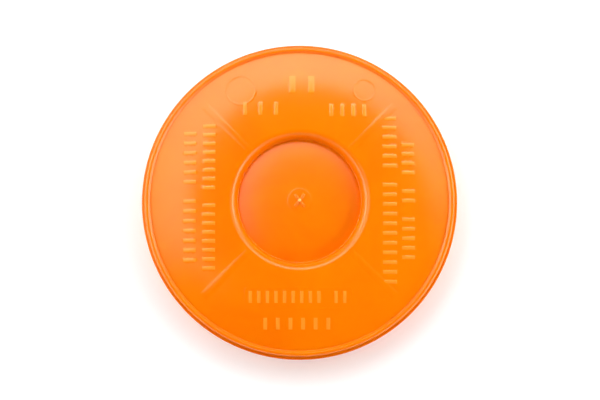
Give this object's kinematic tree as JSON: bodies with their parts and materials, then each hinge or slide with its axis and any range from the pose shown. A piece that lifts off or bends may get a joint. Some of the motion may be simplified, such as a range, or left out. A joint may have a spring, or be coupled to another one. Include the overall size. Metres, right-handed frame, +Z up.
{
  "type": "underground disk marker",
  "caption": "Flat round buried marker: a welded orange plastic housing with a raised rim, a central recess and a tuned coil sealed inside, found from above ground.",
  "frame": {"origin": "centre of the flat ground face of the base", "axes": "+Z up along the axis of the disk, towards the cover's recess; +Y towards the top of the picture; +X to its right"},
  "size_m": [0.127, 0.127, 0.0197],
  "materials": {
    "housing_plastic": "satin moulded polyethylene, coloured orange through",
    "enamelled_copper": "clear enamel over copper wire",
    "binding_tape": "thin polyester tape",
    "capacitor_case": "plain moulded case",
    "tinned_wire": "bright tinned",
    "sleeve_plastic": "shrunk polyolefin sleeve"
  },
  "bodies": {
    "root": {"cover": "housing_plastic", "base": "housing_plastic", "coil": "enamelled_copper", "coil_tapes": "binding_tape", "capacitor": "capacitor_case", "capacitor_leads": "tinned_wire", "coil_tails": "enamelled_copper", "splice_sleeves": "sleeve_plastic"}
  },
  "joints": []
}
